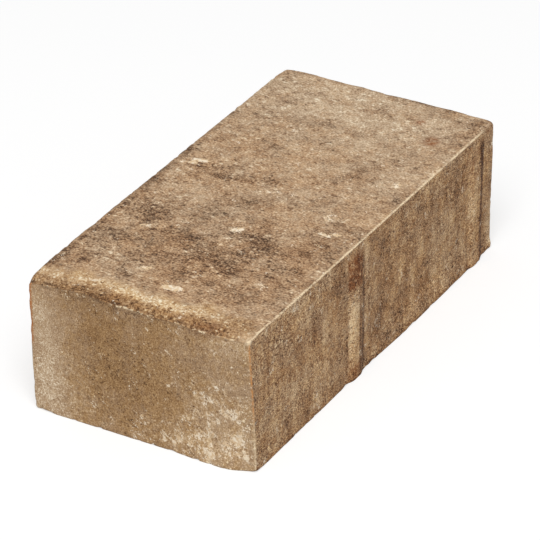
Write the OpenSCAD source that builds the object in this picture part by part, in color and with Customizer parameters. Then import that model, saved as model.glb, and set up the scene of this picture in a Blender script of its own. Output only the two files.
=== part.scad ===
// A rectangular concrete paving stone, cast in one piece with upright spacer ribs on its long sides.
// It lies flat on its bed face. Length runs along X, width along Y and height along Z, in millimetres.
// The near end faces -X, the front side faces -Y and the back side faces +Y.

/* [Stone] */
// Length from end to end
stone_length = 200; // [160:1:300]
// Width between the two plain long sides, without the ribs
stone_width = 100; // [60:1:200]
// Height from the bed face to the top face
stone_height = 60; // [40:1:100]
// Radius of the four upright corners
corner_radius = 1; // [0.5:0.1:4]

/* [Rolled top edges] */
// How far in the top starts to roll down towards the near end
near_roll_run = 12; // [4:0.5:20]
// How far the top has fallen at the near end
near_roll_drop = 1; // [0.3:0.1:3]
// How far in the top starts to roll down towards the far end
far_roll_run = 1.5; // [1:0.1:6]
// How far the top has fallen at the far end
far_roll_drop = 0.6; // [0.1:0.1:1]
// How far in the top starts to roll down towards the back side
back_roll_run = 2.5; // [1.5:0.1:6]
// How far the top has fallen at the back side
back_roll_drop = 1; // [0.3:0.1:1.5]
// How far in the top starts to roll down towards the front side
front_roll_run = 0.7; // [0.5:0.1:3]
// How far the top has fallen at the front side
front_roll_drop = 0.4; // [0.1:0.1:0.5]

/* [Spacer ribs] */
// Width of a rib where it meets the side of the stone
rib_foot_width = 13; // [9:0.5:20]
// Width of the flat crest of a rib
rib_crest_width = 6; // [2:0.5:8]
// How far a rib stands out from the side
rib_depth = 1; // [0.5:0.1:3]
// Distance from the top face down to where a rib begins
rib_top_gap = 2; // [1:0.5:8]
// Height over which a rib grows to its full depth
rib_lead_in = 16; // [4:1:24]
// Distance from an end of the stone to the middle of the rib beside it
end_rib_inset = 15; // [12:0.5:40]
// Distance between the middles of the two ribs on one side
rib_spacing = 103; // [40:1:110]

/* [Hidden] */
$fn = 96;
// Depth by which a rib reaches into the stone, so that the two are one solid
rib_root = 2;
// Room that each cut has beyond the stone
clear = 1;

// Plan of the stone with its rounded upright corners
module plan() {
    inner_length = stone_length - 2 * corner_radius;
    inner_width = stone_width - 2 * corner_radius;
    square([stone_length, inner_width], center = true);
    square([inner_length, stone_width], center = true);
    for (x = [-inner_length / 2, inner_length / 2]) {
        for (y = [-inner_width / 2, inner_width / 2]) {
            translate([x, y])
                circle(r = corner_radius);
        }
    }
}

// What the rolled edge takes off, seen from the side: the edge is at the origin and the stone lies on its left
module roll_section(run, drop) {
    radius = (run * run + drop * drop) / (2 * drop);
    difference() {
        translate([-run, -drop])
            square([run + clear, drop + clear]);
        translate([-run, -radius])
            circle(r = radius);
    }
}

// A rolled top edge cut along the +X end of a block of the given length and width
module roll_cut(length, width, run, drop) {
    translate([length / 2, 0, stone_height])
        rotate([90, 0, 0])
            linear_extrude(height = width + 2 * clear, center = true)
                roll_section(run, drop);
}

// The plain stone without its ribs
module block() {
    difference() {
        linear_extrude(height = stone_height)
            plan();
        roll_cut(stone_length, stone_width, far_roll_run, far_roll_drop);
        rotate([0, 0, 90])
            roll_cut(stone_width, stone_length, back_roll_run, back_roll_drop);
        rotate([0, 0, 180])
            roll_cut(stone_length, stone_width, near_roll_run, near_roll_drop);
        rotate([0, 0, 270])
            roll_cut(stone_width, stone_length, front_roll_run, front_roll_drop);
    }
}

// Plan of one rib on the front side, with the side's face along Y = 0
module rib_plan() {
    foot = rib_foot_width / 2;
    crest = rib_crest_width / 2;
    polygon([
        [-foot, rib_root],
        [-foot, 0],
        [-crest, -rib_depth],
        [crest, -rib_depth],
        [foot, 0],
        [foot, rib_root]
    ]);
}

// Side view of one rib: it grows from nothing below its top and is square at its bottom
module rib_profile() {
    top = stone_height - rib_top_gap;
    polygon([
        [rib_root, 0],
        [rib_root, top],
        [0, top],
        [-rib_depth, top - rib_lead_in],
        [-rib_depth, 0]
    ]);
}

// One rib on the front side, with its middle at X = 0
module rib() {
    translate([0, -stone_width / 2, 0])
        intersection() {
            linear_extrude(height = stone_height)
                rib_plan();
            rotate([90, 0, 90])
                linear_extrude(height = rib_foot_width, center = true)
                    rib_profile();
        }
}

// Both ribs of the front side
module front_ribs() {
    end_rib_x = stone_length / 2 - end_rib_inset;
    for (x = [end_rib_x, end_rib_x - rib_spacing]) {
        translate([x, 0, 0])
            rib();
    }
}

module paving_stone() {
    color([0.66, 0.54, 0.42])
        union() {
            block();
            front_ribs();
            rotate([0, 0, 180])
                front_ribs();
        }
}

paving_stone();
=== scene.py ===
"""The looks of a concrete paving stone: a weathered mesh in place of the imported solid, and a plain studio.

Lengths are in millimetres on the stone's own axes, and MM turns them into metres. The near end faces -X,
the front side faces -Y and the top faces +Z. Colours are 8-bit sRGB values.
"""
import math

import bpy
import numpy as np
from mathutils import Euler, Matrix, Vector


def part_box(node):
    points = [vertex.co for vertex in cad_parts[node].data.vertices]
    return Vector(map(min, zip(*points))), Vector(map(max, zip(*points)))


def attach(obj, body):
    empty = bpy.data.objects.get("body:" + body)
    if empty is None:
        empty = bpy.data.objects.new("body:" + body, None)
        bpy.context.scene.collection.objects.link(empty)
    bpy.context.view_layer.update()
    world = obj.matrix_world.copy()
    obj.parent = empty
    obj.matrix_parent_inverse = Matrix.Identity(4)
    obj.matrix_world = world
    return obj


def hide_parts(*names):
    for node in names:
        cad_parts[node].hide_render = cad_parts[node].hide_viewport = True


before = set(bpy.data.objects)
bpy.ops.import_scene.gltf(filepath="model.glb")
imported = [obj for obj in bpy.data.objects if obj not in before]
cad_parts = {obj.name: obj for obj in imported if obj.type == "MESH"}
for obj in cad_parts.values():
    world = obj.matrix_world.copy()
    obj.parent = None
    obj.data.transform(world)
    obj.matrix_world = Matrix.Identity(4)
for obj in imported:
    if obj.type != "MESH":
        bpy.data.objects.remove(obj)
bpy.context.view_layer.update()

MM = 0.001
SEED = 7

# The stone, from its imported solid
RIB_DEPTH = 1.0
stone_low, stone_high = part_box("paving_stone")
HALF_LENGTH = (stone_high.x - stone_low.x) / 2 / MM
HALF_WIDTH = (stone_high.y - stone_low.y) / 2 / MM - RIB_DEPTH
HEIGHT = (stone_high.z - stone_low.z) / MM
MIDDLE = np.array([0, 0, HEIGHT / 2])
HALF_SIZE = np.array([HALF_LENGTH, HALF_WIDTH, HEIGHT / 2])

# Rolled top edges: how far in each starts, how far it has fallen at the edge, and the power of its curve
FAR_ROLL = (3, 0.35, 2)
BACK_ROLL = (3, 0.5, 2)
ROLL_DEPTH = 8
# The nose along the near end: how far the top swells behind it and where, how far in it starts,
# how far it falls, and the power of its curve
SWELL = 0.4
SWELL_PLACE = (2, 8, 24)
NOSE_RUN = 5
NOSE_FALL = 1.2
NOSE_POWER = 2.2
# How much further its rim falls at each place across the end
RIM_PLACES = (-50, -36, -27, -19, -9, -5, 0, 5, 11, 14, 19, 24, 30, 42, 47, 50)
RIM_FALLS = (-0.9, 0.1, 0.3, -0.3, 0.2, 0.4, 0, -0.4, 0.5, 0.1, -0.4, -0.8, -0.6, 0.0, 0.2, 0.4)
# Waves along its rim: how long each is, and how high
RIM_WAVES = ((5, 0.25), (2.4, 0.2))
# The back near corner is worn down: how far in it starts, how far it falls, the power of its curve,
# and how far along the end it reaches
CORNER_ROLL = (20, 1.3, 1.6)
CORNER_ROLL_REACH = 25
# The notch behind the rim, and how long its stretches are
NOTCH_DEPTH = 0.4
NOTCH_MIDDLE = 0.9
NOTCH_REACH = 0.5
NOTCH_LENGTH = 9

# Spacer ribs: half widths at the foot and the crest, how high each starts and how long its lead-in is,
# the middles on the front side, and how far in from the face the mesh gives way
RIB_FOOT = 6.5
RIB_CREST = 2.6
RIB_TOP = HEIGHT - 2
RIB_LEAD_IN = 16
RIB_MIDDLES = (-18, 85)
RIB_BLEND = 4

# Wear of the edges, and of corners: which corner, how much rounder it is and how far that reaches
EDGE_RADIUS = 0.3
WORN_CORNERS = (
    ((-1, 1, 1), 0.4, 8),
    ((1, 1, 1), 2.2, 9),
    ((1, -1, 1), 1.6, 7),
    ((-1, -1, -1), 1.0, 9),
    ((1, -1, -1), 0.4, 6),
    ((-1, 1, -1), 1.2, 8),
    ((1, 1, -1), 1.2, 8),
)
# Chips along the edges: how far apart and how deep, the level of noise over which they show,
# and how high up from the bed they are deeper
CHIPS = ((3, 1.4), (9, 1.0))
CHIP_LEVEL = 0.35
CHIP_HEIGHT = 6
# The front top arris is crisper than the other edges: by which share, and how far in that is whole and ends
CRISP_SHARE = 0.5
CRISP_REACH = (1, 6)
# The near front corner is worn back at the bottom: how far, and how far that reaches along each face
CORNER_WEAR = 2.6
WEAR_REACH = (24, 14)
# The bottom edge bows out at the near end and along the front: each bow's middle, how far to each side
# it is even and how far it reaches, and its size. Then how far up and in both reach
END_BOW = (-33, 6, 22, 0.9)
FRONT_BOW = (48, 22, 58, 1.0)
BOW_HEIGHT = 14
BOW_DEPTH = 10
# The stone isn't quite square: which corners are off, and by how much
CORNER_OFFSETS = (
    ((-1, 1, -1), (-0.2, -0.5, 0)),
    ((-1, 1, 1), (0.4, -0.1, 0.4)),
    ((1, -1, -1), (-1.6, 0.2, 0)),
    ((1, -1, 1), (0.1, 0, 0.2)),
    ((1, 1, 1), (0.2, -0.1, 0.3)),
)
# The front top arris lies in at the near end: by how much, from which height, and from where along it
ARRIS_LEAN = 0.6
LEAN_HEIGHT = HEIGHT * 0.4
LEAN_START = 30
# It is worn down at the far end: how far in that starts, how far it falls, and the power of its curve
ARRIS_WEAR = (4, 0.7, 2)
# A burr at the far front bottom corner
BURR_PLACE = (HALF_LENGTH, -HALF_WIDTH, 2)
BURR_SIZE = 0.8
BURR_REACH = 3.5

# Steps of the mesh: at the near end, at the other edges, at the ribs, across the stone and elsewhere
NEAR_STEP = 0.35
EDGE_STEP = 0.5
RIB_STEP = 0.75
CROSS_STEP = 0.85
COARSE_STEP = 1.2
FINE_REACH = 5
# How wide the strips with fine steps are: at the near end, at the far end and sides, at the bed and the top
NEAR_STRIP = 2
EDGE_STRIP = 1
BED_STRIP = 0.5
TOP_STRIP = 1.5
# How many places a line is measured out at
LINE_PLACES = 8001

# Camera, as a place to look at and an angle to look from
IMAGE_SIDE = 540
FOCAL_PIXELS = 3578.4
SENSOR_WIDTH = 36.0
LOOK_AT = (-6.5, -3.75, 30.0)
LOOK_DISTANCE = 1441.9
LOOK_AZIMUTH = -59.51
LOOK_ELEVATION = 30.65
LOOK_ROLL = -0.79


def smooth(value, low, high):
    """0 at low and 1 at high, with an even slope between. High may be under low."""
    t = np.clip((value - low) / (high - low), 0, 1)
    return t * t * (3 - 2 * t)


def fade(value, reach):
    """1 at the first of two values and 0 at the second."""
    whole, end = reach
    return smooth(value, end, whole)


def lattice_noise(points, size, seed):
    """Smooth noise from -1 to 1, with bumps about size millimetres apart. Size may differ along each axis."""
    cells = 32
    rng = np.random.default_rng(SEED * 1000 + seed)
    table = rng.uniform(-1, 1, (cells, cells, cells))
    place = points / size + rng.uniform(0, cells, 3)
    cell = np.floor(place).astype(int)
    t = place - cell
    t = t * t * (3 - 2 * t)
    total = np.zeros(len(points))
    for corner in np.ndindex(2, 2, 2):
        weight = np.prod(np.where(corner, t, 1 - t), axis=1)
        total += weight * table[tuple(((cell + corner) % cells).T)]
    return total


def fractal_noise(points, size, seed, octaves=3):
    """Noise with finer bumps on its bumps."""
    size = np.asarray(size, float)
    return sum(lattice_noise(points, size / 2**i, seed + i) / 2**i for i in range(octaves))


def strip_noise(along, size, seed):
    """Noise along a line."""
    still = np.zeros_like(along)
    return lattice_noise(np.stack([still, along, still], 1), size, seed)


def grid_lines(low, high, coarse, fine_places):
    """Lines a coarse step apart, but closer within FINE_REACH of stretches with a step of their own."""
    at = np.linspace(low, high, LINE_PLACES)
    step = np.full(at.shape, coarse)
    for first, last, fine in fine_places:
        away = np.maximum(np.maximum(first - at, at - last), 0)
        step = np.minimum(step, fine + (coarse - fine) * np.clip(away / FINE_REACH, 0, 1))
    count = np.concatenate(([0], np.cumsum(np.diff(at) / step[1:])))
    return np.interp(np.linspace(0, count[-1], round(count[-1]) + 1), count, at)


def box_surface(xs, ys, zs):
    """Points and quads of a box's surface on a grid, with shared points along its edges."""
    inside = np.zeros((len(xs), len(ys), len(zs)), bool)
    inside[1:-1, 1:-1, 1:-1] = True
    index = np.full(inside.shape, -1)
    index[~inside] = np.arange(np.count_nonzero(~inside))
    points = np.stack(np.meshgrid(xs, ys, zs, indexing="ij"), -1)[~inside]
    quads = []
    for axis in range(3):
        for side in (0, -1):
            sheet = np.take(index, side, axis)
            around = [sheet[:-1, :-1], sheet[1:, :-1], sheet[1:, 1:], sheet[:-1, 1:]]
            if (side == 0) != (axis == 1):
                around.reverse()
            quads.append(np.stack(around, -1).reshape(-1, 4))
    return points, np.concatenate(quads)


def outward(points, depth=2.0):
    """The way out of the stone at each point, blended round its edges."""
    away = points - MIDDLE
    away = away - np.clip(away, depth - HALF_SIZE, HALF_SIZE - depth)
    return away / np.linalg.norm(away, axis=1, keepdims=True)


def edge_wear(points):
    """Radius to which the edges are worn, chipped here and there."""
    radius = np.full(len(points), EDGE_RADIUS)
    for corner, extra, reach in WORN_CORNERS:
        away = np.linalg.norm(points - (MIDDLE + HALF_SIZE * corner), axis=1)
        radius += extra * smooth(away, reach, 0)
    chips = sum(
        depth * np.maximum(lattice_noise(points, size, seed) - CHIP_LEVEL, 0)
        for seed, (size, depth) in enumerate(CHIPS, 1)
    )
    chips *= 1 + smooth(points[:, 2], CHIP_HEIGHT, 0)
    crisp = fade(points[:, 1] + HALF_WIDTH, CRISP_REACH) * fade(HEIGHT - points[:, 2], CRISP_REACH)
    return (radius + chips) * (1 - CRISP_SHARE * crisp)


def round_edges(points):
    """The box with its edges rounded to the local wear."""
    radius = edge_wear(points)[:, None]
    away = points - MIDDLE
    inner = np.clip(away, radius - HALF_SIZE, HALF_SIZE - radius)
    out = away - inner
    return MIDDLE + inner + out * radius / np.linalg.norm(out, axis=1, keepdims=True)


def roll(distance, run, drop, power):
    """How far a rolled edge has fallen at this distance from the edge."""
    return drop * (1 - np.clip(distance / run, 0, 1)) ** power


def notch_noise(y):
    """Where along the rim the notch is deep."""
    return strip_noise(y, NOTCH_LENGTH, 14)


def nose_fall(distance, y):
    """The ragged nose at the near end's top edge, with a notch behind the thin standing rim."""
    waves = sum(height * strip_noise(y, length, 12 + i) for i, (length, height) in enumerate(RIM_WAVES))
    rim = NOSE_FALL + np.interp(y, RIM_PLACES, RIM_FALLS) + waves
    notch = NOTCH_DEPTH * smooth(notch_noise(y), -0.5, 0.3)
    notch *= np.exp(-(((distance - NOTCH_MIDDLE) / NOTCH_REACH) ** 2))
    low, middle, high = SWELL_PLACE
    swell = SWELL * smooth(distance, low, middle) * smooth(distance, high, middle)
    worn = smooth(y, HALF_WIDTH - CORNER_ROLL_REACH, HALF_WIDTH)
    fall = roll(distance, NOSE_RUN, rim, NOSE_POWER) + notch - swell * (1 - worn)
    return fall + roll(distance, *CORNER_ROLL) * worn


def roll_top(start, points):
    """Rolls the top's edges down, to the ragged nose at the near end."""
    x, y, z = start.T
    fall = nose_fall(x + HALF_LENGTH, y)
    fall += roll(HALF_LENGTH - x, *FAR_ROLL)
    fall += roll(HALF_WIDTH - y, *BACK_ROLL)
    points[:, 2] -= fall * smooth(z, HEIGHT - ROLL_DEPTH, HEIGHT)


def add_ribs(start, points):
    """Pushes the ribs out of both long sides. The back has the front's ribs turned half round."""
    x, y, z = start.T
    for side in (-1, 1):
        near = smooth(side * y, HALF_WIDTH - RIB_BLEND, HALF_WIDTH)
        for middle in RIB_MIDDLES:
            across = np.clip((RIB_FOOT - np.abs(x + side * middle)) / (RIB_FOOT - RIB_CREST), 0, 1)
            across = (across + smooth(across, 0, 1)) / 2
            up = np.clip((RIB_TOP - z) / RIB_LEAD_IN, 0, 1)
            points[:, 1] += side * RIB_DEPTH * np.minimum(across, up) * near


def wear_corner(start, points):
    """Wears the near front corner back at the bottom."""
    x, y, z = start.T
    reach = smooth(x + HALF_LENGTH, WEAR_REACH[0], 0) * smooth(y + HALF_WIDTH, WEAR_REACH[1], 0)
    points[:, 0] += CORNER_WEAR * reach * np.interp(z, (0, HEIGHT), (1, 0))


def bow_foot(start, points):
    """Bows the bottom edge out at the near end and along the front."""
    low = smooth(start[:, 2], BOW_HEIGHT, 0)
    for axis, along, (middle, even, whole, size) in ((0, 1, END_BOW), (1, 0, FRONT_BOW)):
        reach = smooth(np.abs(start[:, along] - middle), whole, even)
        points[:, axis] -= size * reach * low * smooth(start[:, axis] + HALF_SIZE[axis], BOW_DEPTH, 0)


def lean_arris(start, points):
    """Leans the front top arris in towards the near end, and wears it down towards the far end."""
    x, y, z = start.T
    high = smooth(z, LEAN_HEIGHT, HEIGHT) * smooth(y, 0, -HALF_WIDTH)
    points[:, 1] += ARRIS_LEAN * high * smooth(x, LEAN_START, -HALF_LENGTH)
    worn = roll(y + HALF_WIDTH, *ARRIS_WEAR) * smooth(x, 0, HALF_LENGTH)
    points[:, 2] -= worn * smooth(z, HEIGHT - ROLL_DEPTH, HEIGHT)


def skew(start, points):
    """Moves the corners that are off, and everything between them in step, and adds the burr."""
    share = np.clip((start - MIDDLE) / HALF_SIZE, -1, 1)
    for corner, offset in CORNER_OFFSETS:
        weight = np.prod((1 + share * corner) / 2, axis=1, keepdims=True)
        points += weight * offset
    away = np.linalg.norm(start - BURR_PLACE, axis=1)
    points[:, 1] -= BURR_SIZE * smooth(away, BURR_REACH, 0)


# Bumps of the cast surface, each kind with how far apart they are and how high: all over, fine ones,
# on the top, fine ones there, and on the crumbled nose
BUMPS = (9, 0.05)
FINE_BUMPS = ((2.5, 2.5, 6), 0.04)
TOP_BUMPS = (6, 0.10)
TOP_FINE_BUMPS = (1.6, 0.06)
CRUMBS = (3.0, 0.30)
# How far down the top's bumps reach, and how far in the crumbled stretch is whole and ends
TOP_BUMP_DEPTH = 1.5
CRUMBLED_REACH = (2, 7)
# Small holes: the axis of the faces that they are in and how many there are, the least and the most that
# one reaches, and how deep it is for its reach
HOLES = ((2, 150), (1, 110), (0, 40))
HOLE_REACH = (1.0, 2.4)
HOLE_DEPTH = 0.22


def bumps(points, kind, seed, octaves=3):
    """How high the bumps of one kind stand."""
    size, height = kind
    return height * fractal_noise(points, size, seed, octaves)


def roughen(start, points):
    """Bumps and holes of the cast surface. The top and its near edge are coarser than the sides."""
    top = smooth(start[:, 2], HEIGHT - TOP_BUMP_DEPTH, HEIGHT)
    crumbled = top * fade(start[:, 0] + HALF_LENGTH, CRUMBLED_REACH)
    height = bumps(start, BUMPS, 21) + bumps(start, FINE_BUMPS, 25)
    height += top * (bumps(start, TOP_BUMPS, 31) + bumps(start, TOP_FINE_BUMPS, 35, 1))
    height += crumbled * bumps(start, CRUMBS, 41)
    rng = np.random.default_rng(SEED)
    for face_axis, count in HOLES:
        places = rng.uniform(-1, 1, (count, 3)) * HALF_SIZE
        places[:, face_axis] = HALF_SIZE[face_axis] * rng.choice((-1, 1), count)
        for place, reach in zip(places + MIDDLE, rng.uniform(*HOLE_REACH, count)):
            away = np.linalg.norm(start - place, axis=1) / reach
            height -= HOLE_DEPTH * reach * smooth(away, 1, 0)
    points += height[:, None] * outward(start)


def stone_grid():
    """Lines of the stone's grid along each axis."""
    ribs = [(side * x - RIB_FOOT, side * x + RIB_FOOT, RIB_STEP) for side in (1, -1) for x in RIB_MIDDLES]
    near_end = (-HALF_LENGTH, NEAR_STRIP - HALF_LENGTH, NEAR_STEP)
    far_end = (HALF_LENGTH - EDGE_STRIP, HALF_LENGTH, EDGE_STEP)
    front = (-HALF_WIDTH, EDGE_STRIP - HALF_WIDTH, EDGE_STEP)
    back = (HALF_WIDTH - EDGE_STRIP, HALF_WIDTH, EDGE_STEP)
    levels = [(0, BED_STRIP, EDGE_STEP), (HEIGHT - TOP_STRIP, HEIGHT, EDGE_STEP)]
    xs = grid_lines(-HALF_LENGTH, HALF_LENGTH, COARSE_STEP, ribs + [near_end, far_end])
    ys = grid_lines(-HALF_WIDTH, HALF_WIDTH, CROSS_STEP, [front, back])
    return xs, ys, grid_lines(0, HEIGHT, COARSE_STEP, levels)


def paving_stone():
    """The stone's mesh: a fine grid on its box, worn, rolled, ribbed and roughened."""
    start, quads = box_surface(*stone_grid())
    points = round_edges(start)
    roll_top(start, points)
    add_ribs(start, points)
    wear_corner(start, points)
    bow_foot(start, points)
    lean_arris(start, points)
    skew(start, points)
    roughen(start, points)
    points[:, 2] = np.maximum(points[:, 2], 0)
    mesh = bpy.data.meshes.new("paving_stone_body")
    mesh.from_pydata((points * MM).tolist(), [], quads.tolist())
    mesh.shade_smooth()
    paint(mesh, start)
    piece = bpy.data.objects.new("paving_stone_body", mesh)
    bpy.context.scene.collection.objects.link(piece)
    return piece


def spots(points, places):
    """Soft spots, each with a middle, a reach along each axis and a strength."""
    total = np.zeros(len(points))
    for middle, reach, strength in places:
        total += strength * np.exp(-(((points - middle) / reach) ** 2).sum(1))
    return total


# How far a spot reaches through the face that it is on
SPOT_DEPTH = 3


def on_top(x, y, reach_x, reach_y, strength):
    """A spot on the top."""
    return (x, y, HEIGHT), (reach_x, reach_y, SPOT_DEPTH), strength


def on_end(y, z, reach_y, reach_z, strength):
    """A spot on the near end."""
    return (-HALF_LENGTH, y, z), (SPOT_DEPTH, reach_y, reach_z), strength


def on_front(x, z, reach_x, reach_z, strength):
    """A spot on the front side."""
    return (x, -HALF_WIDTH, z), (reach_x, SPOT_DEPTH, reach_z), strength


# Long flakes on the top: which way they run, and how wide and long their spots are for their reach
FLAKE_WAY = (0.5, -0.9)
FLAKE_SPOT = (0.5, 0.7)


def flake(x, y, reach, strength):
    """A long flake on the top, as a row of three spots that runs aslant."""
    along, across = (reach * way for way in FLAKE_WAY)
    wide, long = (reach * share for share in FLAKE_SPOT)
    return [on_top(x + along * i, y + across * i, wide, long, strength) for i in (-1, 0, 1)]


# Where the concrete is lighter or darker in broad soft patches; two thin bands along the far edges are
# painted shade
SHADE_SPOTS = (
    on_top(-57, 0, 18, 30, -0.14),
    on_top(-50, -32, 30, 14, -0.05),
    on_top(-36, 35, 6, 9, -0.20),
    on_top(-69, 31, 7, 6, 0.08),
    on_top(-33, -15, 7, 12, -0.16),
    on_top(7, 18, 4, 13, -0.19),
    on_top(63, 18, 4, 26, -0.06),
    on_top(80, -47, 11, 4.5, -0.20),
    on_top(-74, -34, 12, 8, -0.06),
    on_top(82, 5, 30, 60, 0.13),
    on_top(25, 0, 24, 40, 0.04),
    on_top(-24, -44, 14, 7, -0.12),
    on_top(-55, 19, 30, 9, -0.09),
    on_top(-19, -11, 7, 10, -0.14),
    on_top(-19, 7, 6, 5, 0.09),
    on_top(-69, -3, 5, 9, -0.19),
    on_top(-56, -7, 6, 6, 0.20),
    on_top(-81, 19, 6, 6, -0.08),
    on_top(-83, 41, 8, 7, -0.14),
    on_top(-57, 45, 6, 5, -0.10),
    on_top(-44, 40, 7, 10, 0.24),
    on_top(-45, 0, 40, 60, -0.03),
    on_top(-46, -14, 8, 9, -0.08),
    on_top(-30, -34, 8, 9, -0.12),
    on_top(-29, 18, 7, 8, -0.10),
    on_top(-94, -19, 6, 8, 0.11),
    on_top(4, 20, 9, 9, -0.08),
    on_top(19, -31, 7, 7, -0.11),
    on_top(38, -14, 9, 12, 0.05),
    on_top(35, 31, 9, 6, 0.06),
    on_top(59, 25, 7, 14, -0.17),
    on_top(95, 44, 6, 6, -0.08),
    on_top(74, 44, 11, 5, 0.13),
    on_top(-44, -44, 8, 6, 0.06),
    # Painted shade along the far top edge, where its roll turns from the lamp
    on_top(100, 0, 2.0, 60, -0.28),
    on_end(10, 34, 26, 30, -0.20),
    on_end(46, 10, 13, 26, 0.32),
    on_end(46, 44, 10, 16, 0.14),
    on_end(-46, 56, 10, 6, 0.16),
    on_end(6, 55, 14, 5, -0.05),
    on_end(-36, 57, 14, 4, 0.09),
    on_end(-31, 44, 9, 6, -0.07),
    on_end(31, 10, 9, 9, 0.06),
    on_end(-40, 8, 16, 16, 0.18),
    on_front(-88, 50, 14, 8, -0.07),
    on_front(5, 24, 12, 22, -0.12),
    on_front(3.5, 20, 2, 4, -0.15),
    on_front(38, 22, 5, 12, -0.14),
    on_front(-36, 48, 12, 8, -0.08),
    on_front(15, 48, 30, 10, -0.10),
    on_front(62, 44, 10, 9, -0.10),
    on_front(54, 18, 6, 18, 0.10),
    on_front(-70, 20, 26, 20, 0.06),
    on_front(78, 26, 4, 26, 0.08),
    on_front(5, 7, 15, 8, -0.11),
    on_front(82, 5, 6, 5, -0.11),
    on_front(32, 20, 6, 9, 0.10),
    on_front(57, 24, 6, 8, 0.09),
    on_front(-31, 45, 6, 6, -0.10),
    on_front(-69, 36, 7, 6, -0.07),
    on_front(44, 56, 12, 4, 0.12),
    on_front(-18, 56, 8, 4, 0.12),
    on_front(6, 56, 8, 4, 0.09),
    on_front(-81, 15, 8, 8, 0.06),
    on_front(72, 15, 10, 8, 0.06),
    on_front(-94, 56, 8, 4, 0.08),
    # Painted shade along the far upright edge, which turns from the lamp
    on_front(99, 32, 2, 26, -0.12),
)

# Where dark patches and specks crowd together
SPECK_SPOTS = (
    on_top(-57, 2, 18, 27, 0.45),
    on_top(-40, -15, 14, 14, 0.6),
    on_top(-34, 36, 9, 9, 0.9),
    on_top(-66, 34, 9, 8, 0.6),
    on_top(7, 18, 6, 16, 0.7),
    on_top(88, -8, 8, 16, 0.1),
    on_top(90, -46, 8, 5, 0.5),
    on_front(5, 40, 16, 12, 0.5),
    on_front(-70, 40, 20, 14, 0.4),
    on_front(40, 28, 14, 22, 0.4),
)

# Where the concrete is browner, or greyer below nought
WARM_SPOTS = (
    on_top(-62, 0, 22, 30, 0.35),
    on_top(-40, -34, 40, 14, 0.25),
    on_top(-28, 14, 10, 20, -0.35),
    on_top(-75, 22, 8, 16, -0.3),
    on_top(20, 10, 20, 30, 0.1),
    on_top(80, 10, 32, 60, -0.5),
    on_end(8, 30, 26, 40, 0.45),
    on_end(45, 22, 12, 40, -0.9),
    on_end(-44, 40, 12, 24, -0.35),
    on_front(88, 30, 8, 30, 0.3),
    on_front(25, 20, 16, 16, 0.25),
)

# Pale flakes and the bloom of lime
LIME_SPOTS = (
    *flake(-81, -3, 2.7, 2.8),
    on_top(-81, -3, 2.3, 3.2, 2.2),
    *flake(7, 44, 2.2, 1.8),
    *flake(12, 41, 2.8, 1.8),
    *flake(13, 36, 1.8, 1.5),
    on_top(32, -40, 3.5, 2.5, 1.4),
    on_top(94, -42, 3, 3, 1.4),
    *flake(-16, -36, 3.0, 1.5),
    *flake(-31, -4, 2.0, 1.6),
    on_top(-5, -31, 1.8, 2.4, 1.5),
    on_top(-25, -37, 1.6, 3, 1.1),
    *flake(-45, 31, 2.2, 1.8),
    *flake(-72, 12, 2.2, 1.6),
    *flake(-66, -8, 1.6, 1.5),
    *flake(-90, 26, 2.0, 1.4),
    on_top(-63, -31, 2.0, 2.4, 1.2),
    on_top(52, 18, 3, 3, 0.7),
    on_top(63, 43, 1.6, 2.4, 1.3),
    on_top(30, 35, 1.4, 2.6, 1.3),
    *flake(3, 0, 1.7, 1.2),
    on_end(-36, 11, 19, 14, 1.15),
    on_end(-31, 31, 14, 8, 0.62),
    on_end(-45, 24, 5, 12, 0.40),
    on_end(-8, 5, 20, 7, 0.62),
    on_front(24, 53, 6, 2.5, 0.7),
)

# Rust-brown stains
RUST_SPOTS = (
    on_front(-20, 4, 5, 5, 1.0),
    on_front(80, 48, 5, 9, 0.5),
    on_front(88, 4, 5, 4, 0.5),
    on_front(96, 57, 3, 2.5, 0.6),
    on_top(71, -36, 3.2, 2.8, 2.0),
    on_top(84, -24, 2.6, 2.0, 1.4),
    on_top(-98, -30, 4, 10, 0.6),
)

# Upright bands of painted light and shade at the ribs: pale flanks, partly worn pale and partly a painted
# highlight where they face the lamp, grey crests in painted shade, painted shadow along the feet, and a paler
# strip past the
# middle rib. For each: which rib, how far past its middle, how far to each side a band is even and has ended,
# its strength, and pairs of heights where it is whole and has ended
RIB_LIGHT_AND_SHADE_BANDS = (
    (0, -2.6, (3.1, 3.9), 0.32, ((30, 40), (8, 3))),
    (0, 3.0, (1.6, 2.6), -0.16, ()),
    (0, 5.6, (0.6, 1.7), -0.34, ((53, 58),)),
    (0, 8.6, (0.9, 1.6), 0.13, ()),
    (1, -3.5, (2.4, 4.0), 0.18, ((36, 54),)),
    (1, 4.4, (1.4, 2.4), -0.476, ((53, 58),)),
)


def painted_rib_light(start):
    """Painted light and shade at the ribs of both long sides: pale flanks, partly worn and partly a painted
    highlight, grey crests in painted shade, and painted shadow along the feet.
    """
    x, y, z = start.T
    total = np.zeros(len(start))
    for side in (-1, 1):
        face = fade(HALF_WIDTH - side * y, (0, 1))
        for rib, place, reach, strength, heights in RIB_LIGHT_AND_SHADE_BANDS:
            band = strength * face * fade(np.abs(-side * x - RIB_MIDDLES[rib] - place), reach)
            for height in heights:
                band = band * fade(z, height)
            total += band
    return total


# Masks of the material. A pair gives where a mask is whole and where it has ended, a single length its end.
# How far the patches wander and how long the bends are, and how far round an edge a face's look goes
WANDER = 2.2
WANDER_LENGTH = 9
FACE_END = 0.7
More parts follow.
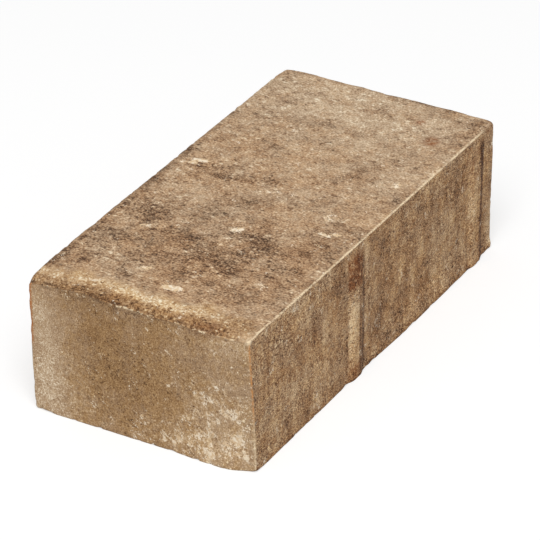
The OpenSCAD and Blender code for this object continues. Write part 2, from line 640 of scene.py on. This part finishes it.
# The nose's concrete and its pale crest: waves of their edge, how far in and across they lie, and their
# shade.
# The crest's pale is partly worn and partly a painted highlight where the nose rolls towards the lamp
RAGGED_WAVES = ((8, 1.5), (2.5, 0.8))
NOSE_IN = (10, 15)
NOSE_ACROSS = (-40, -52)
NOSE_WANDER = 3
NOSE_SHADE = -0.10
CREST_IN = (7, 4)
CREST_ACROSS = (-26, -42)
CREST_WEAR_AND_HIGHLIGHT = 0.42
# The front top arris, bare and with a painted highlight: how far in and down, how much barer in the middle,
# and how much less past a place
ARRIS_IN = (0.3, 0.95)
ARRIS_DOWN = 0.5
ARRIS_MIDDLE = (40, 60)
ARRIS_GAIN = 0.4
ARRIS_FAR = 45
ARRIS_LOSS = 0.02
# The bare knot where it meets the near end, painted pale with the arris's highlight
KNOT = ((-HALF_LENGTH, -HALF_WIDTH, HEIGHT), (1.8, 1.8, 1.2), 1.4)
# The near upright arris: how far round it goes, at which heights it is orange and bare, and how bare.
# Its bare pale also stands in for a painted highlight
UPRIGHT_IN = 0.8
UPRIGHT_ORANGE = (30, 16)
UPRIGHT_BARE = (18, 32)
UPRIGHT_SHARE = 0.7
# The orange strip at the back upright arris
STRIP_IN = (0.9, 1.5)
STRIP_UP = (34, 28)
# The rim of the near end, bare and with a painted highlight
RIM_IN = 0.5
RIM_DOWN = 1.2
# The painted shade in the notch behind it
NOTCH_SHADE_REACH = (0.2, 0.8)
# The dark band along the back of the top: painted shade where the back roll turns from the lamp, with some
# dirt
BACK_IN = (3.2, 4.4)
BACK_ALONG = (0, 70)
BACK_WANDER = 0.5
BACK_SHADE_AND_DIRT = -0.20
# The dirty foot of the front
FOOT_UP = 3.5
FOOT_SHADE = -0.18
FOOT_WARM = 0.6
# The rust on the front's middle rib
RIB_RUST_PLACE = -19
RIB_RUST_HALF = (5, 6)
RIB_RUST_HEIGHTS = ((42.5, 41.5), (55, 58))


def nose_masks(start, wander):
    """The nose's concrete, and the pale crest on it, partly worn and partly a painted highlight."""
    x, y, z = start.T
    waves = sum(height * strip_noise(y, length, 61 + i) for i, (length, height) in enumerate(RAGGED_WAVES))
    ragged = x + HALF_LENGTH + waves
    nose = fade(HEIGHT - z, (0, FACE_END)) * fade(ragged + NOSE_WANDER * wander[:, 0], NOSE_IN)
    crest = fade(ragged, CREST_IN) * fade(y, CREST_ACROSS) * (0.75 + 0.5 * strip_noise(y, 14, 63))
    return nose * fade(y, NOSE_ACROSS), crest


def edge_masks(start):
    """Where the edges are bare and carry a painted highlight, or are orange."""
    x, y, z = start.T
    at_end = fade(HALF_LENGTH - np.abs(x), (0, FACE_END))
    arris = fade(y + HALF_WIDTH, ARRIS_IN) * fade(HEIGHT - z, (0, ARRIS_DOWN))
    worn = ARRIS_GAIN * fade(np.abs(x), ARRIS_MIDDLE) - ARRIS_LOSS * np.maximum(x - ARRIS_FAR, 0)
    arris *= smooth(strip_noise(x, 6, 65) + worn, -1.2, 0)
    upright = at_end * fade(y + HALF_WIDTH, (0, UPRIGHT_IN))
    bare_and_highlit = np.maximum(arris, UPRIGHT_SHARE * upright * fade(z, UPRIGHT_BARE))
    rim = fade(x + HALF_LENGTH, (0, RIM_IN)) * fade(HEIGHT - z, (0, RIM_DOWN))
    return {
        "arris": np.clip(np.maximum(bare_and_highlit, spots(start, [KNOT])), 0, 1),
        "rim": rim * smooth(strip_noise(y, 11, 64), -0.3, 0.5),
        "upright": upright * fade(z, UPRIGHT_ORANGE),
        "strip": at_end * fade(HALF_WIDTH - y, STRIP_IN) * fade(z, STRIP_UP),
    }


def all_round(start, near, places):
    """Spots, and under the top the same ones turned half round, for the sides that the photo lacks."""
    return spots(near, places) + (start[:, 2] < HEIGHT) * spots(near * (-1, -1, 1), places)


def paint(mesh, start):
    """Writes the masks that the concrete reads, with one value for each point."""
    x, y, z = start.T
    wander = np.stack([fractal_noise(start, WANDER_LENGTH, 51 + 5 * axis) for axis in range(3)], 1)
    near = start + WANDER * wander
    top = fade(HEIGHT - z, (0, FACE_END))
    end = fade(HALF_LENGTH - np.abs(x), (0, FACE_END))
    nose, crest = nose_masks(start, wander)
    # Painted shade, with some dirt, along the back edge of the top
    back = top * fade(HALF_WIDTH - y - BACK_WANDER * wander[:, 1], BACK_IN) * fade(x, BACK_ALONG)
    front = fade(y + HALF_WIDTH, (0, 1))
    foot = front * fade(z, (0, FOOT_UP))
    # The tone mask: lighter and darker patches, and painted light: rib flanks and the nose's crest painted
    # pale as if lit, rib crests, rib feet, the back edge and the far edges painted dark as shade
    tone_and_painted_light = all_round(start, near, SHADE_SPOTS) + painted_rib_light(start) + nose * (CREST_WEAR_AND_HIGHLIGHT * crest + NOSE_SHADE)
    rib_rust = front * fade(np.abs(x - RIB_RUST_PLACE), RIB_RUST_HALF)
    for height in RIB_RUST_HEIGHTS:
        rib_rust = rib_rust * fade(z, height)
    # Painted shade in the notch behind the rim
    notch = top * fade(np.abs(x + HALF_LENGTH - NOTCH_MIDDLE), NOTCH_SHADE_REACH)
    masks = {
        "top": top,
        "end": np.maximum(end - top, 0),
        "nose": nose,
        "tone_and_painted_light": tone_and_painted_light + FOOT_SHADE * foot + BACK_SHADE_AND_DIRT * back * (1 - nose),
        "specks": all_round(start, near, SPECK_SPOTS),
        "warm": all_round(start, near, WARM_SPOTS) + FOOT_WARM * foot,
        "lime": all_round(start, near, LIME_SPOTS),
        "rust": np.clip(spots(start, RUST_SPOTS) + rib_rust, 0, 1),
        "notch": notch * smooth(notch_noise(y), -0.7, 0.3),
        **edge_masks(start),
    }
    for name, values in masks.items():
        layer = mesh.attributes.new(name, "FLOAT", "POINT")
        layer.data.foreach_set("value", values.astype(np.float32))


def srgb(red, green, blue):
    """An 8-bit sRGB colour as linear RGBA."""
    def linear(level):
        share = level / 255
        return share / 12.92 if share <= 0.04045 else ((share + 0.055) / 1.055) ** 2.4
    return linear(red), linear(green), linear(blue), 1.0


class Graph:
    """Short calls that add nodes to one material and link them.

    A value may be a number, a colour or a node's output.
    """

    def __init__(self, name):
        self.material = bpy.data.materials.new(name)
        self.material.use_nodes = True
        self.tree = self.material.node_tree
        self.tree.nodes.clear()

    def put(self, socket, value):
        if isinstance(value, bpy.types.NodeSocket):
            self.tree.links.new(value, socket)
        else:
            socket.default_value = value

    def add(self, kind, values=(), **settings):
        node = self.tree.nodes.new("ShaderNode" + kind)
        for name, value in settings.items():
            setattr(node, name, value)
        for key, value in dict(values).items():
            self.put(node.inputs[key], value)
        return node

    def math(self, operation, first, second=0.0):
        return self.add("Math", {0: first, 1: second}, operation=operation).outputs[0]

    def mask(self, name):
        return self.add("Attribute", attribute_name=name).outputs["Fac"]

    def ramp(self, value, low, high, bottom=0.0, top=1.0):
        keys = ("Value", "From Min", "From Max", "To Min", "To Max")
        values = dict(zip(keys, (value, low, high, bottom, top)))
        return self.add("MapRange", values, interpolation_type="SMOOTHSTEP").outputs["Result"]

    def mix(self, factor, first, second, blend="MIX"):
        values = {"Factor": factor, 6: first, 7: second}
        return self.add("Mix", values, data_type="RGBA", blend_type=blend).outputs[2]

    def palette(self, value, colours):
        """Colours spread evenly from a value of 0 to 1."""
        node = self.add("ValToRGB", {0: value})
        stops = node.color_ramp.elements
        for i, colour in enumerate(colours):
            place = i / (len(colours) - 1)
            stop = stops[i] if i == 0 else stops[-1] if i == len(colours) - 1 else stops.new(place)
            stop.position = place
            stop.color = colour
        return node.outputs["Color"]

    def stretch(self, vector, factors):
        return self.add("VectorMath", {0: vector, 1: factors}, operation="MULTIPLY").outputs[0]

    def shift(self, vector, offset):
        return self.add("VectorMath", {0: vector, 1: offset}, operation="ADD").outputs[0]

    def noise(self, vector, size, detail=2.0, roughness=0.5):
        values = {"Vector": vector, "Scale": 1 / size, "Detail": detail, "Roughness": roughness}
        return self.add("TexNoise", values).outputs["Fac"]

    def wobble(self, vector, size, reach):
        """A place moved about by noise, by up to about reach."""
        colour = self.add("TexNoise", {"Vector": vector, "Scale": 1 / size}).outputs["Color"]
        moved = self.stretch(self.shift(colour, (-0.5, -0.5, -0.5)), (2 * reach,) * 3)
        return self.shift(vector, moved)

    def grains(self, vector, size):
        """How far the nearest of many points is, in sizes, and more at points with smaller marks."""
        cells = self.add("TexVoronoi", {"Vector": vector, "Scale": 1 / size}).outputs
        kind = self.add("SeparateColor", {0: cells["Color"]}).outputs[0]
        return self.total((cells["Distance"], 1.0), (kind, 0.3))

    def blend(self, factor, first, second):
        return self.add("Mix", {0: factor, 2: first, 3: second}, data_type="FLOAT").outputs[0]

    def total(self, *terms):
        """The sum of values, each with its weight."""
        result = 0.0
        for value, weight in terms:
            result = self.math("ADD", self.math("MULTIPLY", value, weight), result)
        return result


# Colours of the concrete from dark to pale, greyer and browner, on each kind of face
TOP_GREY = ((84, 64, 47), (145, 118, 91), (188, 159, 129), (215, 190, 158), (252, 236, 208))
TOP_BROWN = ((80, 54, 36), (144, 109, 78), (187, 149, 112), (215, 182, 144), (252, 228, 192))
END_GREY = ((102, 77, 56), (155, 125, 95), (183, 151, 118), (211, 183, 149), (254, 236, 208))
END_BROWN = ((96, 67, 40), (151, 115, 76), (179, 141, 97), (210, 175, 130), (254, 228, 184))
SIDE_GREY = ((70, 48, 33), (142, 109, 81), (181, 145, 110), (209, 176, 139), (250, 223, 182))
SIDE_BROWN = ((68, 40, 23), (141, 99, 64), (182, 136, 93), (210, 167, 119), (250, 214, 160))
NOSE_GREY = ((76, 52, 34), (138, 106, 74), (184, 150, 114), (217, 188, 150), (255, 240, 212))
NOSE_BROWN = ((70, 44, 25), (136, 97, 60), (184, 143, 98), (218, 182, 134), (255, 236, 198))
LIME_DULL = srgb(230, 199, 158)
LIME_BRIGHT = srgb(255, 238, 212)
RUST_TINT = (0.52, 0.33, 0.23, 1.0)
# Pale colour of the bare arrises and rim, which also stands in for their painted highlight
BARE_AND_HIGHLIGHT_COLOUR = srgb(255, 232, 194)
# Patchy stains and painted shade: the mask, the colour, and the noise and the cover where patches start and
# are whole.
# The notch's dark is painted shade; the orange strip and upright arris are stains
PATCHY_STAINS_AND_SHADE = (
    ("notch", srgb(70, 43, 25), (0.42, 0.58, 0.1, 0.75)),
    ("strip", srgb(186, 116, 62), (0.35, 0.55, 0.5, 0.95)),
    ("upright", srgb(216, 146, 80), (0.38, 0.55, 0.2, 0.85)),
)

# How marks are stretched: the top's, the lime's on an end, which runs aslant, and those of the long sides
TOP_GRAIN = (1, 0.62, 1)
END_SLANT = math.radians(45)
END_GRAIN = (1, 1.7, 1)
SIDE_GRAIN = (1, 1, 1.2)
LONG_GRAIN = (1, 1, 0.5)
STREAK_GRAIN = (1, 1, 0.22)

# Noises of each kind of face: how far apart the marks are, and their weight
TOP_NOISES = ((20, 0.40), (8, 0.62), (3, 0.56), (1.3, 0.82), (0.6, 1.50))
END_NOISES = ((20, 0.20), (8, 0.25), (3, 0.40), (1.2, 0.55), (0.55, 1.22))
SIDE_NOISES = ((16, 0.35), (6, 0.55), (3, 0.42), (1.2, 0.85), (0.55, 2.20))
NOSE_NOISES = ((8, 0.4), (3, 0.7), (1.4, 0.85), (0.7, 1.0))
# Dark pits and pale flecks: how far apart they are, how far one reaches for that, and their weight
TOP_PITS = (2.4, 0.36, 0.20)
TOP_FLECKS = (2.4, 0.34, 0.30)
END_PITS = (2.4, 0.29, 0.20)
END_FLECKS = (1.7, 0.30, 0.40)
END_GRIT = (4.0, 0.26, 0.50)
SIDE_PITS = (2.0, 0.36, 0.29)
SIDE_FLECKS = (2.4, 0.34, 0.30)
SIDE_LONG_FLECKS = (5.0, 0.22, 0.35)
NOSE_PITS = (2.0, 0.36, 0.24)
NOSE_FLECKS = (1.8, 0.38, 0.30)
# Dark patches on the top: how far apart, the noise where one starts and is whole, how dark it is,
# and how much the mask of specks adds
PATCH_SIZE = 9
PATCH_EDGE = (0.555, 0.595)
PATCH_SHADE = -0.16
PATCH_CROWD = 0.14
# How strong the top's marks are with no specks in the mask, and with this many
TOP_CONTRAST = (0.86, 1.06)
MANY_SPECKS = 0.6
# Streaks of the long sides: how far apart, and their weight
STREAK_SIZE = 5
STREAK_WEIGHT = 0.8


class Face:
    """How light one kind of face is, about 0.5, and its relief: noises, pits and flecks along its grain."""

    # Noises under this size are relief too, this high for their size, and pits and flecks are this high
    RELIEF_SIZE = 4
    RELIEF_SHARE = 0.4
    MARK_RELIEF = 0.5
    # Marks crowd together: how far apart the crowds are, how strong, and how much the mask of specks adds
    CROWD_SIZE = 9
    CROWD = 0.9
    SPECK_CROWD = 0.08
    # How far under its reach a mark starts and is whole
    MARK_EDGE = (0.45, 0.57)

    def __init__(self, g, along, noises, pits, flecks):
        self.g = g
        self.along = along
        self.tone = g.math("ADD", g.mask("tone_and_painted_light"), 0.5 - sum(weight for size, weight in noises) / 2)
        self.relief = 0.0
        for number, (size, weight) in enumerate(noises):
            moved = g.shift(along, (31 * number, 17 * number, 7 * number))
            value = g.noise(moved, size, 3 if size > 1 else 1, 0.6)
            self.add(value, weight)
            if size < self.RELIEF_SIZE:
                self.raise_by(value, size * self.RELIEF_SHARE)
        ragged = g.wobble(along, 1.5, 0.6)
        self.scatter(ragged, pits, -1)
        self.scatter(g.shift(ragged, (50, 20, 90)), flecks, 1)

    def add(self, value, weight):
        self.tone = self.g.total((value, weight), (self.tone, 1.0))

    def raise_by(self, value, height):
        self.relief = self.g.total((value, height), (self.relief, 1.0))

    def calm(self, contrast):
        """Weakens or strengthens the marks, with the broad shade left as it is."""
        level = self.g.math("ADD", self.g.mask("tone_and_painted_light"), 0.5)
        marks = self.g.math("SUBTRACT", self.tone, level)
        self.tone = self.g.math("ADD", self.g.math("MULTIPLY", marks, contrast), level)

    def scatter(self, place, kind, sign):
        """Marks about one size apart, each a share of that size across, that lighten or darken."""
        size, reach, weight = kind
        crowds = self.g.noise(place, self.CROWD_SIZE)
        crowd = self.g.total((crowds, self.CROWD), (self.g.mask("specks"), self.SPECK_CROWD))
        away = self.g.math("SUBTRACT", self.g.grains(place, size), crowd)
        mark = self.g.ramp(away, *(reach - edge for edge in self.MARK_EDGE))
        self.add(mark, sign * weight)
        self.raise_by(mark, sign * self.MARK_RELIEF)


def top_face(g, place):
    """The worn top: ragged dark patches, crowded pits and pale flecks."""
    along = g.stretch(place, TOP_GRAIN)
    face = Face(g, along, TOP_NOISES, TOP_PITS, TOP_FLECKS)
    patches = g.noise(g.shift(along, (31, 7, 13)), PATCH_SIZE, 5, 0.66)
    patches = g.total((patches, 1.0), (g.mask("specks"), PATCH_CROWD))
    face.add(g.ramp(patches, *PATCH_EDGE), PATCH_SHADE)
    face.calm(g.ramp(g.mask("specks"), 0.0, MANY_SPECKS, *TOP_CONTRAST))
    return face


def end_face(g, place):
    """The smooth moulded end: fine grain, few pits and many bright flecks. Its lime runs aslant."""
    face = Face(g, place, END_NOISES, END_PITS, END_FLECKS)
    face.scatter(g.shift(g.wobble(place, 1.2, 0.6), (11, 71, 37)), END_GRIT, 1)
    aslant = {0: place, "Rotation": (END_SLANT, 0, 0), "Scale": END_GRAIN}
    face.along = g.add("Mapping", aslant, vector_type="TEXTURE").outputs[0]
    return face


def side_face(g, place):
    """The dragged long sides: upright streaks, many small pits and some pale flecks."""
    face = Face(g, g.stretch(place, SIDE_GRAIN), SIDE_NOISES, SIDE_PITS, SIDE_FLECKS)
    face.scatter(g.shift(g.stretch(place, LONG_GRAIN), (23, 5, 61)), SIDE_LONG_FLECKS, 1)
    streaks = g.noise(g.stretch(place, STREAK_GRAIN), STREAK_SIZE, 2, 0.6)
    face.add(g.math("SUBTRACT", streaks, 0.5), STREAK_WEIGHT)
    return face


def nose_face(g, place):
    """The crumbled nose and crest of the near end: coarse grains with dark gaps."""
    return Face(g, place, NOSE_NOISES, NOSE_PITS, NOSE_FLECKS)


def face_colour(g, hue, face, grey, brown):
    """A face's colour at its level of tone, browner in places and greyer in others."""
    grey, brown = (g.palette(face.tone, [srgb(*colour) for colour in colours]) for colours in (grey, brown))
    return g.mix(hue, grey, brown)


# Lime: how far apart its clumps, the spots of its bloom on the sides and the flakes on the top are
CLUMP_SIZE = 6.5
BLOOM_SIZE = 1.8
FLAKE_SIZE = 2.8
# How much its mask adds, how much fine grain breaks it up, and the level where it starts and is whole
LIME_WEIGHT = 0.2
LIME_GRAIN = 0.45
LIME_EDGE = (0.865, 1.0)


def stains_and_painted_light(g, place, top, end, colour):
    """Lime, rust, other stains, painted shade in the notch, and bare arrises and rim with a painted
    highlight, over the concrete's own colour.
    """
    small = g.noise(g.shift(place, (3, 57, 21)), 2.0, 3, 0.6)
    clumps = g.noise(g.shift(place, (61, 13, 5)), CLUMP_SIZE)
    bloom = g.noise(g.shift(end.along, (5, 23, 47)), BLOOM_SIZE, 4, 0.65)
    bloom = g.total((bloom, 0.75), (clumps, 0.6), (1.0, -0.17))
    flakes = g.noise(g.shift(top.along, (5, 23, 47)), FLAKE_SIZE, 4, 0.62)
    lime = g.total((g.mask("lime"), LIME_WEIGHT), (g.blend(g.mask("top"), bloom, flakes), 1.0))
    lime_colour = g.mix(g.ramp(small, 0.4, 0.6), LIME_DULL, LIME_BRIGHT)
    grain = g.noise(g.shift(place, (9, 41, 2)), 0.6, 1)
    covered = g.ramp(g.total((lime, 1.0), (grain, LIME_GRAIN)), *LIME_EDGE)
    colour = g.mix(covered, colour, lime_colour)
    rust = g.math("MULTIPLY", g.mask("rust"), g.ramp(small, 0.35, 0.6, 0.35, 1.0))
    colour = g.mix(rust, colour, RUST_TINT, "MULTIPLY")
    # The notch's painted shade, and the orange stains of the arrises
    for name, stain_or_shade, patches in PATCHY_STAINS_AND_SHADE:
        cover = g.math("MULTIPLY", g.mask(name), g.ramp(small, *patches))
        colour = g.mix(cover, colour, stain_or_shade)
    worn = g.total((small, 0.5), (grain, 0.5))
    # Bare arrises and rim, painted pale, partly as a highlight
    arris = g.math("MULTIPLY", g.mask("arris"), g.ramp(worn, 0.42, 0.54, 0.2, 1.0))
    rim = g.math("MULTIPLY", g.mask("rim"), g.ramp(small, 0.50, 0.60))
    return g.mix(g.math("MAXIMUM", arris, rim), colour, BARE_AND_HIGHLIGHT_COLOUR)


# How high a relief of 1 is, and how much of its relief an end has
RELIEF_HEIGHT = 0.3
END_RELIEF = 0.6


def concrete():
    """Brown paving concrete, weathered, with its grain and pits as relief."""
    g = Graph("concrete")
    place = g.stretch(g.add("TexCoord").outputs["Object"], (1 / MM,) * 3)
    top, end, side, nose = top_face(g, place), end_face(g, place), side_face(g, place), nose_face(g, place)
    broad = g.ramp(g.noise(g.shift(place, (77, 3, 9)), 12, 5, 0.65), 0.35, 0.65)
    narrow = g.ramp(g.noise(g.shift(place, (17, 83, 29)), 1.8, 2, 0.6), 0.3, 0.7)
    hue = g.total((broad, 0.6), (narrow, 0.6), (g.mask("warm"), 1.0))
    hue = g.math("SUBTRACT", hue, 0.1)
    colour = g.mix(g.mask("end"), face_colour(g, hue, side, SIDE_GREY, SIDE_BROWN),
                   face_colour(g, hue, end, END_GREY, END_BROWN))
    colour = g.mix(g.mask("top"), colour, face_colour(g, hue, top, TOP_GREY, TOP_BROWN))
    colour = g.mix(g.mask("nose"), colour, face_colour(g, hue, nose, NOSE_GREY, NOSE_BROWN))
    relief = g.blend(g.mask("end"), side.relief, g.math("MULTIPLY", end.relief, END_RELIEF))
    relief = g.blend(g.mask("top"), relief, top.relief)
    relief = g.blend(g.mask("nose"), relief, nose.relief)
    bump = g.add("Bump", {"Strength": 1.0, "Distance": RELIEF_HEIGHT * MM, "Height": relief})
    shader = g.add("BsdfPrincipled", {
        "Base Color": stains_and_painted_light(g, place, top, end, colour),
        "Roughness": 0.9,
        "Specular IOR Level": 0.25,
        "Normal": bump.outputs[0],
    })
    g.add("OutputMaterial", {"Surface": shader.outputs[0]})
    return g.material


# The floor: its colour, how much brighter than lit it is seen, and half its side
FLOOR_COLOUR = (0.55, 0.55, 0.55, 1.0)
FLOOR_LIFT = 0.54
FLOOR_HALF_SIDE = 4000


def floor_material():
    """A pale floor that takes the stone's shadow, seen lifted to white where nothing shades it."""
    g = Graph("floor")
    path = g.add("LightPath").outputs
    mirrored = g.math("MAXIMUM", path["Is Glossy Ray"], path["Is Transmission Ray"])
    seen = g.math("MAXIMUM", path["Is Camera Ray"], mirrored)
    shader = g.add("BsdfPrincipled", {
        "Base Color": FLOOR_COLOUR,
        "Roughness": 0.9,
        "Specular IOR Level": 0.0,
        "Emission Color": (1.0, 1.0, 1.0, 1.0),
        "Emission Strength": g.math("MULTIPLY", seen, FLOOR_LIFT),
    })
    g.add("OutputMaterial", {"Surface": shader.outputs[0]})
    return g.material


def floor():
    """The plain floor that the stone lies on."""
    side = FLOOR_HALF_SIDE * MM
    mesh = bpy.data.meshes.new("floor")
    corners = [(-side, -side, 0), (side, -side, 0), (side, side, 0), (-side, side, 0)]
    mesh.from_pydata(corners, [], [(0, 1, 2, 3)])
    mesh.materials.append(floor_material())
    plane = bpy.data.objects.new("floor", mesh)
    bpy.context.scene.collection.objects.link(plane)
    return plane


# The light: its level all round, and the lamp's direction, distance, side and power in watts
WORLD_LEVEL = 0.4
KEY_FROM = (-0.486, -0.264, 0.833)
KEY_DISTANCE = 2000
KEY_SIDE = 1100
KEY_POWER = 25.7


def studio_world():
    """Even soft light from all round, seen as white."""
    world = bpy.data.worlds.new("studio")
    bpy.context.scene.world = world
    world.use_nodes = True
    tree = world.node_tree
    tree.nodes.clear()
    path = tree.nodes.new("ShaderNodeLightPath").outputs
    seen = tree.nodes.new("ShaderNodeMath")
    seen.operation = "MAXIMUM"
    tree.links.new(path["Is Camera Ray"], seen.inputs[0])
    mirrored = tree.nodes.new("ShaderNodeMath")
    mirrored.operation = "MAXIMUM"
    tree.links.new(path["Is Glossy Ray"], mirrored.inputs[0])
    tree.links.new(path["Is Transmission Ray"], mirrored.inputs[1])
    tree.links.new(mirrored.outputs[0], seen.inputs[1])
    level = tree.nodes.new("ShaderNodeMapRange")
    level.inputs["To Min"].default_value = WORLD_LEVEL
    level.inputs["To Max"].default_value = 1.0
    tree.links.new(seen.outputs[0], level.inputs["Value"])
    background = tree.nodes.new("ShaderNodeBackground")
    background.inputs["Color"].default_value = (1.0, 1.0, 1.0, 1.0)
    tree.links.new(level.outputs["Result"], background.inputs["Strength"])
    output = tree.nodes.new("ShaderNodeOutputWorld")
    tree.links.new(background.outputs[0], output.inputs["Surface"])


def key_light():
    """One large soft lamp above the near end."""
    lamp = bpy.data.lights.new("key", "AREA")
    lamp.shape = "SQUARE"
    lamp.size = KEY_SIDE * MM
    lamp.energy = KEY_POWER
    holder = bpy.data.objects.new("key", lamp)
    direction = Vector(KEY_FROM).normalized()
    holder.location = direction * KEY_DISTANCE * MM
    holder.rotation_euler = direction.to_track_quat("Z", "Y").to_euler()
    bpy.context.scene.collection.objects.link(holder)


def camera():
    """The camera at the photograph's viewing angle."""
    data = bpy.data.cameras.new("camera")
    data.sensor_width = SENSOR_WIDTH
    data.lens = FOCAL_PIXELS / IMAGE_SIDE * SENSOR_WIDTH
    azimuth, elevation = math.radians(LOOK_AZIMUTH), math.radians(LOOK_ELEVATION)
    back = Vector((
        math.sin(azimuth) * math.cos(elevation),
        -math.cos(azimuth) * math.cos(elevation),
        math.sin(elevation),
    ))
    holder = bpy.data.objects.new("camera", data)
    turn = back.to_track_quat("Z", "Y").to_matrix() @ Euler((0, 0, math.radians(LOOK_ROLL))).to_matrix()
    holder.rotation_euler = turn.to_euler()
    holder.location = (Vector(LOOK_AT) + back * LOOK_DISTANCE) * MM
    bpy.context.scene.collection.objects.link(holder)
    bpy.context.scene.camera = holder


def main():
    """Builds the stone and its studio, hides the imported solid and hangs the stone on its body."""
    camera()
    studio_world()
    key_light()
    floor()
    stone = paving_stone()
    stone.data.materials.append(concrete())
    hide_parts("paving_stone")
    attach(stone, "root")
    bpy.context.scene.view_settings.view_transform = "Standard"


main()
